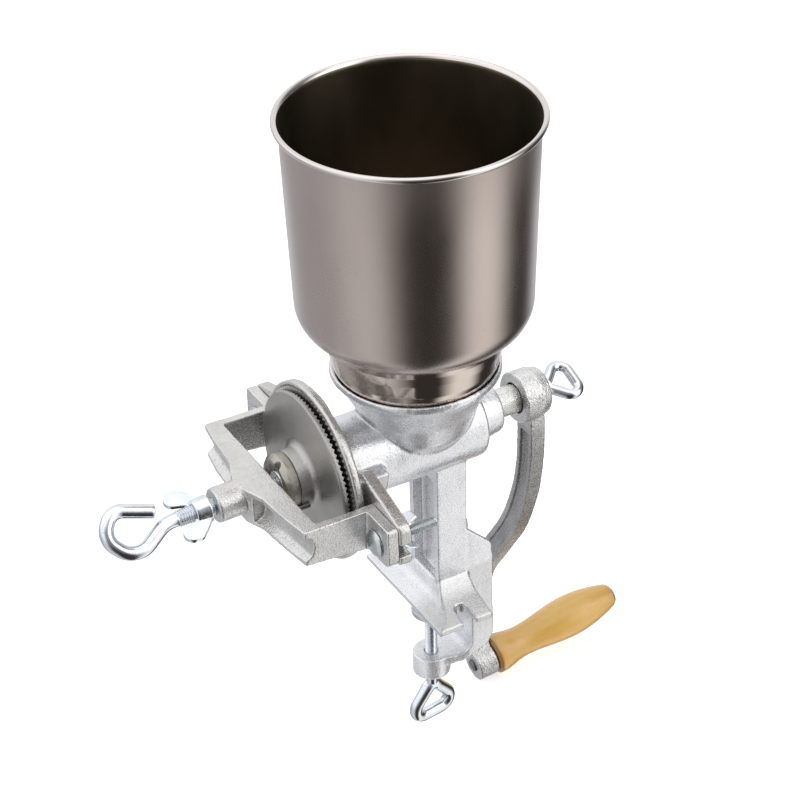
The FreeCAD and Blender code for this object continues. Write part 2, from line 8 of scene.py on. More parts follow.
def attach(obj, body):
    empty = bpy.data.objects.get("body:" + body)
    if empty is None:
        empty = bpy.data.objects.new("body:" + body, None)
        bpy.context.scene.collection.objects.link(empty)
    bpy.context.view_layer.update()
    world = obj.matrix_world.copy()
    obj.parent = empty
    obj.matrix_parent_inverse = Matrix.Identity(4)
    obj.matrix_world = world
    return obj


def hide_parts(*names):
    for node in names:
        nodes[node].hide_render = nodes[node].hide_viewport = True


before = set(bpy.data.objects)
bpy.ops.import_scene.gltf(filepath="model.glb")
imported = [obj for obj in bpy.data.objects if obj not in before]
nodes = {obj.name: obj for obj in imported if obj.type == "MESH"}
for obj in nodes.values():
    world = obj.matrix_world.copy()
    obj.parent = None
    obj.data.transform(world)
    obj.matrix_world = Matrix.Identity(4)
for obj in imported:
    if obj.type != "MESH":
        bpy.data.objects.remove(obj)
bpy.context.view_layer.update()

scene = bpy.context.scene
MM = 0.001
# pieces are described about the crossing of the shaft and hopper axes, in mm,
# then set in the row frame by this shift
SHIFT = np.array([0.0, -6.2, 119.0])


def row(p):
    return (np.asarray(p, float) + SHIFT) * MM


# ------------------------------------------------------------------ meshes
def make(name, verts, faces, smooth=True):
    me = bpy.data.meshes.new(name)
    me.from_pydata([tuple(v) for v in verts], [], [tuple(f) for f in faces])
    me.update()
    if smooth:
        me.polygons.foreach_set("use_smooth", np.ones(len(me.polygons), bool))
    ob = bpy.data.objects.new(name, me)
    scene.collection.objects.link(ob)
    return ob


def sharp_by_angle(ob, deg):
    me = ob.data
    me.polygons.foreach_set("use_smooth", np.ones(len(me.polygons), bool))
    me.set_sharp_from_angle(angle=math.radians(deg))


def fillet(pts, closed=False, step=1.0, arc=6.0, steps=None):
    """Rounded 2-D line: points (u, v) or (u, v, radius), sampled."""
    n = len(pts)
    out = []
    corners = []
    for i in range(n):
        b = np.array(pts[i][:2], float)
        rad = pts[i][2] if len(pts[i]) > 2 else 0.0
        if rad <= 0 or (not closed and i in (0, n - 1)):
            corners.append([b])
            continue
        a = np.array(pts[i - 1][:2], float)
        c = np.array(pts[(i + 1) % n][:2], float)
        d1 = (a - b) / np.linalg.norm(a - b)
        d2 = (c - b) / np.linalg.norm(c - b)
        ang = math.acos(max(-1.0, min(1.0, float(d1 @ d2))))
        t = rad / math.tan(ang / 2)
        bis = (d1 + d2) / np.linalg.norm(d1 + d2)
        cen = b + bis * rad / math.sin(ang / 2)
        p0, p1 = b + d1 * t - cen, b + d2 * t - cen
        th0, th1 = math.atan2(p0[1], p0[0]), math.atan2(p1[1], p1[0])
        dth = (th1 - th0 + math.pi) % (2 * math.pi) - math.pi
        k = max(2, int(abs(math.degrees(dth)) / arc) + 1)
        corners.append([cen + rad * np.array([math.cos(th0 + dth * j / k), math.sin(th0 + dth * j / k)]) for j in range(k + 1)])
    for i in range(n):
        out.extend(corners[i])
        if i == n - 1 and not closed:
            break
        p, q = corners[i][-1], corners[(i + 1) % n][0]
        st = steps[i] if steps and steps[i] else step
        m = max(1, int(np.linalg.norm(q - p) / st))
        out.extend([p + (q - p) * j / m for j in range(1, m)])
    res = [out[0]]
    for p in out[1:]:
        if np.linalg.norm(p - res[-1]) > 1e-6:
            res.append(p)
    if closed and np.linalg.norm(res[0] - res[-1]) < 1e-6:
        res.pop()
    return np.array(res)


def sweep(path, normal, rad, segs=40, closed=False, cap0=None, cap1=None):
    """Tube round a flat path (N x 3, mm) whose plane has this normal. rad(s, theta) gives the radius.
    cap0 and cap1 are extra end rings [(distance beyond the end, radius), ...]."""
    path = np.asarray(path, float)
    n = len(path)
    b = np.asarray(normal, float)
    b = b / np.linalg.norm(b)
    if closed:
        tan = np.roll(path, -1, 0) - np.roll(path, 1, 0)
    else:
        tan = np.gradient(path, axis=0)
    tan /= np.linalg.norm(tan, axis=1)[:, None]
    nor = np.cross(b, tan)
    d = np.linalg.norm(np.diff(path, axis=0), axis=1)
    s = np.concatenate([[0], np.cumsum(d)])
    th = np.arange(segs) * 2 * math.pi / segs
    verts, faces = [], []
    rings = []

    def ring(p, nn, rr):
        base = len(verts)
        for k in range(segs):
            verts.append(p + rr[k] * (math.cos(th[k]) * nn + math.sin(th[k]) * b))
        rings.append(base)

    if cap0:
        for ds, r in cap0:
            ring(path[0] - tan[0] * ds, nor[0], np.full(segs, r))
    for i in range(n):
        ring(path[i], nor[i], np.broadcast_to(rad(s[i], th), (segs,)))
    if cap1:
        for ds, r in cap1:
            ring(path[-1] + tan[-1] * ds, nor[-1], np.full(segs, r))
    m = len(rings)
    for i in range(m if closed else m - 1):
        a, c = rings[i], rings[(i + 1) % m]
        for k in range(segs):
            k2 = (k + 1) % segs
            faces.append((a + k, a + k2, c + k2, c + k))
    if not closed:
        faces.append(tuple(rings[0] + k for k in reversed(range(segs))))
        faces.append(tuple(rings[-1] + k for k in range(segs)))
    return np.array(verts), faces


def merged(*parts):
    v, f, base = [], [], 0
    for pv, pf in parts:
        v.append(np.asarray(pv))
        f += [tuple(i + base for i in q) for q in pf]
        base += len(pv)
    return np.concatenate(v), f


def lathe(profile, segs, place, bend=None, closed=True):
    """Turned surface from a closed profile [(r, h), ...]. place(r cos, r sin, h) -> mm point.
    bend(theta, r, h, i) may move a station's radius and height."""
    th = np.arange(segs) * 2 * math.pi / segs
    verts, faces = [], []
    for i, p in enumerate(profile):
        r = np.full(segs, p[0], float)
        h = np.full(segs, p[1], float)
        if bend is not None:
            r, h = bend(th, r, h, i)
        for k in range(segs):
            verts.append(place(r[k] * math.cos(th[k]), r[k] * math.sin(th[k]), h[k]))
    n = len(profile)
    for i in range(n if closed else n - 1):
        j = (i + 1) % n
        for k in range(segs):
            k2 = (k + 1) % segs
            faces.append((i * segs + k, i * segs + k2, j * segs + k2, j * segs + k))
    return np.array(verts), faces


def thread(r_major, r_minor, pitch, s0, s1, plain, blend=1.5):
    """Radius of a rod with a rolled thread from s0 to s1 and a plain shank elsewhere."""
    def rad(s, th):
        ph = (s / pitch - th / (2 * math.pi)) % 1.0
        t = np.clip((np.abs(2 * ph - 1) - 0.14) / 0.72, 0, 1)
        t = t * t * (3 - 2 * t)
        r = r_minor + (r_major - r_minor) * t
        w = np.clip(min((s - s0) / blend, (s1 - s) / blend), 0, 1)
        return plain * (1 - w) + r * w
    return rad


def cast(node, name, voxel, smooth, waves, body=None, keep=None):
    """A casting's skin: the solid's own shape with softened edges and a rough, uneven surface.
    waves is [(wavelength mm, height mm), ...]."""
    src = nodes[node]
    me = src.data.copy()
    ob = bpy.data.objects.new(name, me)
    scene.collection.objects.link(ob)
    w = ob.modifiers.new("weld", "WELD")
    w.merge_threshold = 2e-6
    r = ob.modifiers.new("skin", "REMESH")
    r.mode = "VOXEL"
    r.voxel_size = voxel * MM
    r.use_smooth_shade = True
    if smooth:
        sm = ob.modifiers.new("soft", "SMOOTH")
        sm.factor = 0.5
        sm.iterations = smooth
    dg = bpy.context.evaluated_depsgraph_get()
    new = bpy.data.meshes.new_from_object(ob.evaluated_get(dg))
    ob.modifiers.clear()
    ob.data = new
    bpy.data.meshes.remove(me)
    rough(ob, waves, keep)
    new.polygons.foreach_set("use_smooth", np.ones(len(new.polygons), bool))
    return ob


def rough(ob, waves, keep=None):
    me = ob.data
    n = len(me.vertices)
    co = np.zeros(n * 3, np.float32)
    me.vertices.foreach_get("co", co)
    co = co.reshape(-1, 3)
    no = np.zeros(n * 3, np.float32)
    me.vertex_normals.foreach_get("vector", no)
    no = no.reshape(-1, 3)
    h = np.zeros(n)
    for k, (wl, amp) in enumerate(waves):
        q = co / (wl * MM) + 7.3 * (k + 1)
        h += amp * MM * np.array([noise.noise(Vector(p)) for p in q.tolist()])
    if keep is not None:
        h *= keep(co / MM - SHIFT)
    co = co + no * h[:, None]
    me.vertices.foreach_set("co", co.astype(np.float32).ravel())
    me.update()


# --------------------------------------------------------------- materials
class Mat:
    def __init__(self, name):
        self.m = bpy.data.materials.new(name)
        self.m.use_nodes = True
        self.nt = self.m.node_tree
        self.b = self.nt.nodes["Principled BSDF"]
        tc = self.nt.nodes.new("ShaderNodeTexCoord")
        self.co = tc.outputs["Object"]

    def node(self, kind, **kw):
        n = self.nt.nodes.new(kind)
        for k, v in kw.items():
            setattr(n, k, v)
        return n

    def put(self, sock, v):
        if isinstance(v, bpy.types.NodeSocket):
            self.nt.links.new(v, sock)
        else:
            sock.default_value = v

    def set(self, **kw):
        for k, v in kw.items():
            self.put(self.b.inputs[k.replace("_", " ")], v)

    def mapping(self, scale=(1, 1, 1), rot=(0, 0, 0), loc=(0, 0, 0)):
        n = self.node("ShaderNodeMapping")
        self.put(n.inputs["Vector"], self.co)
        n.inputs["Scale"].default_value = scale
        n.inputs["Rotation"].default_value = rot
        n.inputs["Location"].default_value = loc
        return n.outputs["Vector"]

    def noise(self, scale, detail=2.0, rough=0.5, vec=None, dist=0.0):
        n = self.node("ShaderNodeTexNoise")
        self.put(n.inputs["Vector"], vec if vec is not None else self.co)
        n.inputs["Scale"].default_value = scale
        n.inputs["Detail"].default_value = detail
        n.inputs["Roughness"].default_value = rough
        n.inputs["Distortion"].default_value = dist
        return n.outputs["Fac"]

    def voronoi(self, scale, feature="F1", vec=None):
        n = self.node("ShaderNodeTexVoronoi", feature=feature)
        self.put(n.inputs["Vector"], vec if vec is not None else self.co)
        n.inputs["Scale"].default_value = scale
        return n.outputs["Distance"]

    def span(self, v, a, b, c=0.0, d=1.0, smooth=False):
        n = self.node("ShaderNodeMapRange")
        if smooth:
            n.interpolation_type = "SMOOTHSTEP"
        self.put(n.inputs["Value"], v)
        n.inputs["From Min"].default_value = a
        n.inputs["From Max"].default_value = b
        n.inputs["To Min"].default_value = c
        n.inputs["To Max"].default_value = d
        return n.outputs["Result"]

    def math(self, op, a, b=0.0):
        n = self.node("ShaderNodeMath", operation=op)
        self.put(n.inputs[0], a)
        self.put(n.inputs[1], b)
        return n.outputs[0]

    def mix(self, f, a, b, blend="MIX"):
        n = self.node("ShaderNodeMix", data_type="RGBA", blend_type=blend)
        self.put(n.inputs[0], f)
        self.put(n.inputs[6], a)
        self.put(n.inputs[7], b)
        return n.outputs[2]

    def ramp(self, f, stops):
        n = self.node("ShaderNodeValToRGB")
        el = n.color_ramp.elements
        while len(el) < len(stops):
            el.new(0.5)
        for e, (p, c) in zip(el, stops):
            e.position = p
            e.color = tuple(c) + (1.0,) if len(c) == 3 else tuple(c)
        self.put(n.inputs[0], f)
        return n.outputs["Color"]

    def bump(self, h, strength, dist, prev=None):
        n = self.node("ShaderNodeBump")
        n.inputs["Strength"].default_value = strength
        n.inputs["Distance"].default_value = dist
        self.put(n.inputs["Height"], h)
        if prev is not None:
            self.put(n.inputs["Normal"], prev)
        return n.outputs["Normal"]

    def point(self):
        return self.node("ShaderNodeNewGeometry").outputs["Pointiness"]


def c4(c):
    return tuple(c) + (1.0,)


def casting(name, dark, light, stain, rough_lo, rough_hi, sand, pit=0.5, edge=0.5, zone=None, metal=1.0, low=None):
    """Tinned or bare cast iron: cloudy tone, sandy grain, pits, painted shade in creases, painted highlights and
    painted dark reflections on the edges.
    zone is (spans, share, colour), each span (axis, from, to): a part of the casting drawn in another colour; on the
    body these parts are painted shade, on the flange and ears partly also a warmer tone.
    low is (from, to, metallic): a duller skin at the foot of the casting."""
    m = Mat(name)
    cloud = m.noise(38.0, 5.0, 0.6)
    grain = m.noise(920.0, 2.0, 0.55)
    fine = m.noise(2100.0, 2.0, 0.5)
    blot = m.noise(120.0, 4.0, 0.65, dist=0.4)
    col = m.mix(m.span(cloud, 0.34, 0.66), c4(dark), c4(light))
    for spans, share, tone in (zone or []):
        sp = m.node("ShaderNodeSeparateXYZ")
        m.put(sp.inputs[0], m.co)
        part = None
        for axis, z0, z1 in spans:
            one = m.span(sp.outputs[axis], z0, z1, 0.0, share if part is None else 1.0, smooth=True)
            part = one if part is None else m.math("MULTIPLY", part, one)
        col = m.mix(part, col, c4(tone))
    col = m.mix(m.span(blot, 0.54, 0.78, 0.0, 0.55), col, c4(stain))
    speck = m.span(fine, 0.60, 0.72, 0.0, 0.5 * pit)
    col = m.mix(speck, col, c4([x * 0.55 for x in stain]))
    pits = m.span(m.voronoi(210.0), 0.05, 0.17, 1.0, 0.0, smooth=True)
    sparse = m.span(m.noise(60.0, 2.0), 0.52, 0.66)
    pits = m.math("MULTIPLY", pits, m.math("MULTIPLY", sparse, pit))
    col = m.mix(pits, col, c4([x * 0.35 for x in stain]))
    p = m.point()
    # painted shade: creases and inner corners (low pointiness) are darkened
    painted_crease_shade = m.span(p, 0.40, 0.495, 0.70 * edge, 0.0)
    col = m.mix(painted_crease_shade, col, c4([x * 0.34 for x in stain]))
    # painted highlight: convex edges (high pointiness) are lightened in grainy flecks
    rim = m.math("MULTIPLY", m.span(p, 0.515, 0.60, 0.0, 0.9 * edge), m.span(grain, 0.40, 0.60))
    col = m.mix(rim, col, c4([min(0.97, x * 1.16) for x in light]))
    # painted dark reflection: the sharpest convex edges are darkened in blotches
    painted_dark_edge = m.math("MULTIPLY", m.span(p, 0.57, 0.66, 0.0, 0.75 * edge), m.span(blot, 0.44, 0.56))
    col = m.mix(painted_dark_edge, col, c4([x * 0.30 for x in stain]))
    r = m.span(m.math("ADD", m.math("MULTIPLY", grain, 0.6), m.math("MULTIPLY", cloud, 0.4)), 0.36, 0.64, rough_lo, rough_hi)
    h = m.math("ADD", m.math("MULTIPLY", grain, 0.9), m.math("MULTIPLY", fine, 0.28))
    h = m.math("SUBTRACT", h, m.math("MULTIPLY", pits, 0.9))
    if low:
        sp = m.node("ShaderNodeSeparateXYZ")
        m.put(sp.inputs[0], m.co)
        metal = m.span(sp.outputs["Z"], low[0], low[1], metal, low[2], smooth=True)
    m.set(Base_Color=col, Metallic=metal, Roughness=r, Normal=m.bump(h, sand, 0.0006))
    return m.m


def plated(name, base, tint, rough_lo, rough_hi, grain_h=0.15, streak=None):
    """Bright plated steel: faint blue-grey clouding, tiny scratches, painted shade in creases."""
    m = Mat(name)
    cloud = m.noise(90.0, 4.0, 0.6)
    vec = m.mapping(scale=streak) if streak else None
    scr = m.noise(900.0, 3.0, 0.6, vec=vec)
    speck = m.span(m.noise(420.0, 2.0), 0.66, 0.76)
    col = m.mix(m.span(cloud, 0.35, 0.68), c4(base), c4(tint))
    col = m.mix(m.math("MULTIPLY", speck, 0.35), col, c4([x * 0.4 for x in base]))
    # painted shade: creases and inner corners (low pointiness) are darkened
    painted_crease_shade = m.span(m.point(), 0.40, 0.49, 0.6, 0.0)
    col = m.mix(painted_crease_shade, col, c4([x * 0.22 for x in base]))
    r = m.span(m.math("ADD", m.math("MULTIPLY", scr, 0.5), m.math("MULTIPLY", cloud, 0.5)), 0.36, 0.64, rough_lo, rough_hi)
    m.set(Base_Color=col, Metallic=1.0, Roughness=r, Normal=m.bump(scr, grain_h, 0.0002))
    return m.m


MAT = {}
# warm grey: on the flange and ears partly a warmer tone of the iron and partly painted shade, on the block at the
# right front painted shade
WARM_TONE_AND_SHADE = (0.58, 0.57, 0.545)
# zones: the front of the body (flange and ears) in warm grey, partly tone and partly painted shade; a block face at
# the right front in warm grey as painted shade; the apron under the column in darker grey as painted shade
MAT["tinned"] = casting("tinned_casting", (0.775, 0.78, 0.81), (0.895, 0.90, 0.925), (0.66, 0.66, 0.675), 0.20, 0.36, 0.32, 0.3, 0.9,
                        zone=[([("Y", -0.054, -0.061)], 0.85, WARM_TONE_AND_SHADE),
                              ([("X", 0.0300, 0.0312), ("Y", -0.036, -0.041), ("Z", 0.129, 0.125)], 0.85, WARM_TONE_AND_SHADE),
                              ([("X", 0.0060, 0.0240), ("Z", 0.0190, 0.0165)], 0.75, (0.61, 0.607, 0.595))], metal=0.84, low=(-0.024, -0.044, 0.66))
MAT["yoke"] = casting("yoke_casting", (0.62, 0.615, 0.605), (0.76, 0.755, 0.745), (0.48, 0.46, 0.42), 0.18, 0.34, 0.52, 0.5, 0.9, metal=0.85)
MAT["burr"] = casting("burr_casting", (0.46, 0.45, 0.43), (0.54, 0.53, 0.51), (0.42, 0.39, 0.34), 0.30, 0.44, 0.34, 0.4, 0.7)
MAT["collar"] = casting("collar_casting", (0.40, 0.375, 0.34), (0.52, 0.49, 0.44), (0.36, 0.28, 0.21), 0.28, 0.44, 0.45, 0.2, 0.5)
# the crank is drawn much lighter at its upper and lower bosses
MAT["crank"] = casting("crank_casting", (0.45, 0.445, 0.44), (0.61, 0.605, 0.60), (0.33, 0.315, 0.29), 0.17, 0.34, 0.85, 0.6, 0.95,
                       zone=[([("Z", 0.092, 0.104)], 0.75, (0.88, 0.88, 0.87)), ([("Z", -0.108, -0.116)], 0.45, (0.88, 0.87, 0.87))])
MAT["worm"] = casting("worm_casting", (0.74, 0.735, 0.72), (0.88, 0.88, 0.87), (0.52, 0.49, 0.44), 0.22, 0.40, 0.70, 0.5, 0.6)
MAT["zinc"] = plated("bright_zinc", (0.70, 0.74, 0.79), (0.84, 0.87, 0.91), 0.05, 0.13)
MAT["bolt"] = plated("bolt_zinc", (0.56, 0.60, 0.62), (0.70, 0.74, 0.76), 0.18, 0.32)
MAT["dark_steel"] = plated("dark_steel", (0.20, 0.20, 0.20), (0.30, 0.29, 0.28), 0.30, 0.46)


def sheet_metal(name, base, tint, rough_lo, rough_hi, bump, top=0.0):
    """Spun sheet: fine rings from the lathe, satin grain, faint smears. top adds roughness below the rim."""
    m = Mat(name)
    rings = m.noise(1.0, 3.0, 0.65, vec=m.mapping(scale=(14.0, 14.0, 1500.0)))
    grain = m.noise(1300.0, 2.0, 0.6)
    smear = m.noise(22.0, 4.0, 0.6, vec=m.mapping(scale=(1.0, 1.0, 0.45)))
    col = m.mix(m.span(smear, 0.35, 0.65), c4(base), c4(tint))
    mott = m.span(m.noise(160.0, 4.0, 0.7), 0.58, 0.80, 0.0, 0.22)
    col = m.mix(mott, col, c4([x * 0.7 for x in base]))
    r = m.span(m.math("ADD", m.math("MULTIPLY", grain, 0.2), m.math("MULTIPLY", smear, 0.8)), 0.36, 0.64, rough_lo, rough_hi)
    if top:
        sp = m.node("ShaderNodeSeparateXYZ")
        m.put(sp.inputs[0], m.co)
        r = m.math("ADD", r, m.span(sp.outputs["Z"], 0.275, 0.328, 0.0, top, smooth=True))
    h = m.math("ADD", m.math("MULTIPLY", rings, 0.5), m.math("MULTIPLY", grain, 0.5))
    m.set(Base_Color=col, Metallic=1.0, Roughness=r, Normal=m.bump(h, bump, 0.0002))
    return m.m


MAT["hop_wall"] = sheet_metal("hopper_satin", (0.545, 0.472, 0.438), (0.60, 0.525, 0.490), 0.25, 0.31, 0.05, 0.10)
MAT["hop_polish"] = sheet_metal("hopper_neck", (0.62, 0.545, 0.495), (0.68, 0.60, 0.55), 0.09, 0.15, 0.03)
MAT["hop_bead"] = sheet_metal("hopper_bead", (0.70, 0.655, 0.63), (0.76, 0.715, 0.69), 0.06, 0.11, 0.03)
# painted shade: the inside of the bowl, the same spun sheet as the wall, is drawn near-black brown
MAT["hop_in_painted_shade"] = sheet_metal("hopper_inside_painted_shade", (0.215, 0.176, 0.128), (0.265, 0.218, 0.158), 0.30, 0.40, 0.10)

# wood: grain runs along the grip, varnish on top
TOE = math.radians(6.8)
SP = np.array([0.0, math.cos(TOE), math.sin(TOE)])
S0 = np.array([-46.7, 66.0, -246.3])
GRIP_AT = 15.1


def wood():
    m = Mat("varnished_wood")
    g0 = row(S0 + SP * GRIP_AT)
    vec = m.node("ShaderNodeMapping", vector_type="TEXTURE")
    m.put(vec.inputs["Vector"], m.co)
    vec.inputs["Location"].default_value = tuple(g0)
    vec.inputs["Rotation"].default_value = (TOE, 0.0, 0.0)
    loc = vec.outputs["Vector"]

    def stretched(sx, sy, sz):
        n = m.node("ShaderNodeMapping")
        m.put(n.inputs["Vector"], loc)
        n.inputs["Scale"].default_value = (sx, sy, sz)
        return n.outputs["Vector"]

    warp = m.noise(24.0, 3.0, vec=stretched(1.0, 0.35, 1.0))
    ringv = m.node("ShaderNodeTexWave", wave_type="BANDS", bands_direction="X")
    m.put(ringv.inputs["Vector"], stretched(1.0, 0.06, 0.5))
    ringv.inputs["Scale"].default_value = 62.0
    ringv.inputs["Distortion"].default_value = 3.2
    ringv.inputs["Detail"].default_value = 3.0
    ringv.inputs["Detail Scale"].default_value = 1.4
    fibre = m.noise(1.0, 4.0, 0.7, vec=stretched(1500.0, 45.0, 1500.0))
    pores = m.span(m.noise(1.0, 2.0, 0.5, vec=stretched(2600.0, 130.0, 2600.0)), 0.64, 0.74)
    cloud = m.noise(30.0, 4.0, 0.6, vec=stretched(1.0, 0.5, 1.0))
    t = m.math("ADD", m.math("MULTIPLY", ringv.outputs["Fac"], 0.04), m.math("ADD", m.math("MULTIPLY", cloud, 0.55), m.math("MULTIPLY", fibre, 0.35)))
    col = m.ramp(m.span(t, 0.30, 0.72), [(0.0, (0.55, 0.285, 0.040)), (0.5, (0.655, 0.375, 0.070)), (1.0, (0.735, 0.450, 0.108))])
    col = m.mix(m.math("MULTIPLY", pores, 0.25), col, (0.42, 0.20, 0.04, 1.0))
    sep = m.node("ShaderNodeSeparateXYZ")
    m.put(sep.inputs[0], loc)
    # darker end of the grip at the collar: partly a darker stain on the end face, partly painted shade on that chamfer
    end = m.span(sep.outputs["Y"], 0.0012, 0.0034, 0.92, 0.0, smooth=True)
    col = m.mix(end, col, (0.24, 0.095, 0.012, 1.0))
    tip = m.span(sep.outputs["Y"], 0.086, 0.097, 0.0, 0.35, smooth=True)
    col = m.mix(tip, col, (0.46, 0.23, 0.06, 1.0))
    h = m.math("ADD", m.math("MULTIPLY", fibre, 0.6), m.math("MULTIPLY", warp, 0.4))
    r = m.span(cloud, 0.3, 0.7, 0.30, 0.42)
    m.set(Base_Color=col, Roughness=r, Normal=m.bump(h, 0.12, 0.0003), Coat_Weight=1.0, Coat_Roughness=0.09, Coat_IOR=1.52)
    return m.m


MAT["wood"] = wood()


def dress(ob, *mats):
    ob.data.materials.clear()
    for k in mats:
        ob.data.materials.append(MAT[k])


def settle(ob, node, body, slot, *mats):
    dress(ob, *mats)
    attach(ob, body)
    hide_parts(node)
    return ob


# ------------------------------------------------------------------- body
def away_from_bores(p):
    """1 on the outside of the casting, less in the machined bores."""
    rad = np.hypot(p[:, 0], p[:, 2])
    k = np.ones(len(p))
    k[(rad < 21.5) & (p[:, 1] < 33)] = 0.3
    k[(rad < 9.6)] = 0.0
    k[(np.hypot(p[:, 0], p[:, 1] - 6.2) < 5.0) & (p[:, 2] < -119)] = 0.0
    k[(p[:, 1] < -67.6) & (rad < 52.4)] = 0.15
    k[(np.hypot(p[:, 0], p[:, 1]) > 44.0) & (p[:, 2] > 46.0)] = 2.2
    k[(np.abs(p[:, 2] + 119.0) < 0.6)] = 0.4
    return k


body = cast("mill_body", "mill_body_casting", 0.85, 5, [(26.0, 0.50), (7.0, 0.08), (2.1, 0.07)], keep=away_from_bores)
settle(body, "mill_body", "frame", "tinned_iron", "tinned")

yoke = cast("yoke", "yoke_casting", 0.62, 4, [(24.0, 0.40), (6.0, 0.08), (1.7, 0.06)],
            keep=lambda p: np.where(np.hypot(p[:, 0], p[:, 2]) < 5.6, 0.0, 1.0))
settle(yoke, "yoke", "frame", "tinned_iron", "yoke")

crank = cast("crank_arm", "crank_casting", 0.62, 4, [(24.0, 0.45), (6.0, 0.12), (1.8, 0.08)],
             keep=lambda p: np.where((np.hypot(p[:, 0], p[:, 2]) < 10.3) | (np.abs(p[:, 1] - 80.0) > 40), 0.0, 1.0))
settle(crank, "crank_arm", "rotor", "tinned_iron", "crank")

collar = cast("drive_collar", "drive_collar_casting", 0.30, 4, [(9.0, 0.20), (2.4, 0.06)])
settle(collar, "drive_collar", "rotor", "burr_iron", "collar")

worm = cast("auger", "auger_casting", 0.55, 4, [(14.0, 0.20), (3.0, 0.08)],
            keep=lambda p: np.where(p[:, 1] > 24, 0.25, np.where(np.hypot(p[:, 0], p[:, 2]) > 17, 0.3, 1.0)))
settle(worm, "auger", "rotor", "burr_iron", "worm")


# ----------------------------------------------------------------- hopper
def hopper():
    outer = [(71.4, 206.0), (67.66, 81.35, 20.0), (52.4, 77.2, 1.6), (51.1, 71.6, 5.0), (50.7, 66.0, 9.0), (49.5, 57.6, 8.0), (47.8, 52.2)]
    o = fillet(outer, step=2.0, arc=3.0)
    # inside: the same line, one wall further in
    t = np.gradient(o, axis=0)
    t /= np.linalg.norm(t, axis=1)[:, None]
    i = o + 0.8 * np.stack([t[:, 1], -t[:, 0]], 1)
    bead = []
    for k in range(25):
        a = math.radians(-150 + 250 * k / 24.0)
        bead.append((73.25 + 1.75 * math.cos(a), 207.9 + 1.75 * math.sin(a)))
    lip_in = [(72.2, 209.25), (71.45, 208.55), (70.95, 207.6), (70.7, 206.6)]
    foot = [(47.5, 51.2), (47.5, 47.5), (47.25, 47.4), (46.7, 47.4), (46.7, 51.4)]
    prof = [tuple(p) for p in bead] + lip_in + [tuple(p) for p in i] + foot[::-1] + [tuple(p) for p in o[::-1]]
    nb, nl, ni, nf = len(bead), len(lip_in), len(i), len(foot)
    segs = 256

    def bend(th, r, h, k):
        z = h[0]
        if z < 80.0:
            w = min(1.0, (80.0 - z) / 6.0) * (1.0 if z > 55.0 else max(0.0, (z - 50.5) / 4.5))
            d = np.array([noise.noise(Vector((2.1 * math.cos(a), 2.1 * math.sin(a), z * 0.05))) for a in th])
            d2 = np.array([noise.noise(Vector((5.0 * math.cos(a), 5.0 * math.sin(a), 4.0 + z * 0.09))) for a in th])
            r = r + w * (0.26 * d + 0.05 * d2)
        elif z < 205.0:
            d = np.array([noise.noise(Vector((1.6 * math.cos(a), 1.6 * math.sin(a), z * 0.018 + 9.0))) for a in th])
            r = r + 0.10 * d
        return r, h

    v, f = lathe(prof, segs, lambda x, y, z: row((x, y, z)), bend)
    ob = make("hopper_spun", v, f)
    dress(ob, "hop_wall", "hop_polish", "hop_in_painted_shade", "hop_bead")
    n = len(prof)
    idx = np.zeros(n, int)
    for k in range(n):
        r_, z_ = prof[k]
        if k < nb + 2:
            idx[k] = 3
        elif k < nb + nl + ni + 1:
            idx[k] = 2
        elif z_ < 78.0:
            idx[k] = 1
        else:
            idx[k] = 0
    me = ob.data
    me.polygons.foreach_set("material_index", np.repeat(idx, segs).astype(np.int32))
    me.update()
    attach(ob, "hopper")
    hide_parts("hopper")
    return ob


hopper_piece = hopper()

# ------------------------------------------------------------------ burrs
TEETH = 96


def tooth(th, phase=0.0):
    f = (th * TEETH / (2 * math.pi) + phase) % 1.0
    return np.clip(1.0 - np.abs(2 * f - 1) * 1.12, 0, 1)


def on_y(x, y, h):
    return row((x, h, y))


def burr(name, stations, sign, phase, depth):
    """stations: (r, y, tooth share). Teeth stand towards sign along Y."""
    prof = [(s[0], s[1]) for s in stations]
    share = [s[2] for s in stations]

    def bend(th, r, h, i):
        if share[i]:
            h = h - sign * depth * share[i] * (1 - tooth(th, phase))
        d = np.array([noise.noise(Vector((r[0] * 0.11 * math.cos(a), r[0] * 0.11 * math.sin(a), h[0] * 0.2))) for a in th[::8]])
        d = np.repeat(d, 8)[: len(th)]
        return r + (0.10 * d if r[0] > 40 else 0.0), h

    v, f = lathe(prof, TEETH * 8, on_y, bend)
    ob = make(name, v, f)
    sharp_by_angle(ob, 32)
    return ob


rot = burr("rotating_burr_toothed", [
    (8.05, -86.4, 0), (16.2, -86.4, 0), (16.9, -86.25, 0), (17.4, -85.8, 0), (17.58, -85.2, 0), (17.8, -80.6, 0), (18.1, -79.4, 0), (18.9, -78.3, 0),
    (21.2, -76.8, 0), (22.6, -76.6, 0), (34.0, -76.6, 0), (42.0, -76.6, 0), (48.3, -76.6, 0), (48.95, -76.5, 0), (49.4, -76.2, 0), (49.6, -75.7, 0), (49.6, -74.5, 0),
    (49.6, -72.65, 1.0), (49.0, -72.6, 1.0), (44.0, -72.6, 0.95), (37.0, -72.6, 0.8), (30.0, -72.7, 0.55), (24.0, -74.2, 0), (8.05, -74.2, 0)],
    1.0, 0.0, 1.4)
settle(rot, "rotating_burr", "rotor", "burr_iron", "burr")

fix = burr("fixed_burr_toothed", [
    (20.6, -70.6, 0), (30.0, -72.0, 0.5), (37.0, -72.1, 0.8), (44.0, -72.1, 0.95), (50.9, -72.1, 1.0), (51.45, -72.05, 1.0),
    (51.45, -70.4, 0), (51.45, -68.9, 0), (51.2, -68.55, 0), (50.6, -68.52, 0), (36.0, -68.52, 0), (20.6, -68.52, 0)],
    -1.0, 0.35, 1.3)
settle(fix, "fixed_burr", "frame", "burr_iron", "burr")

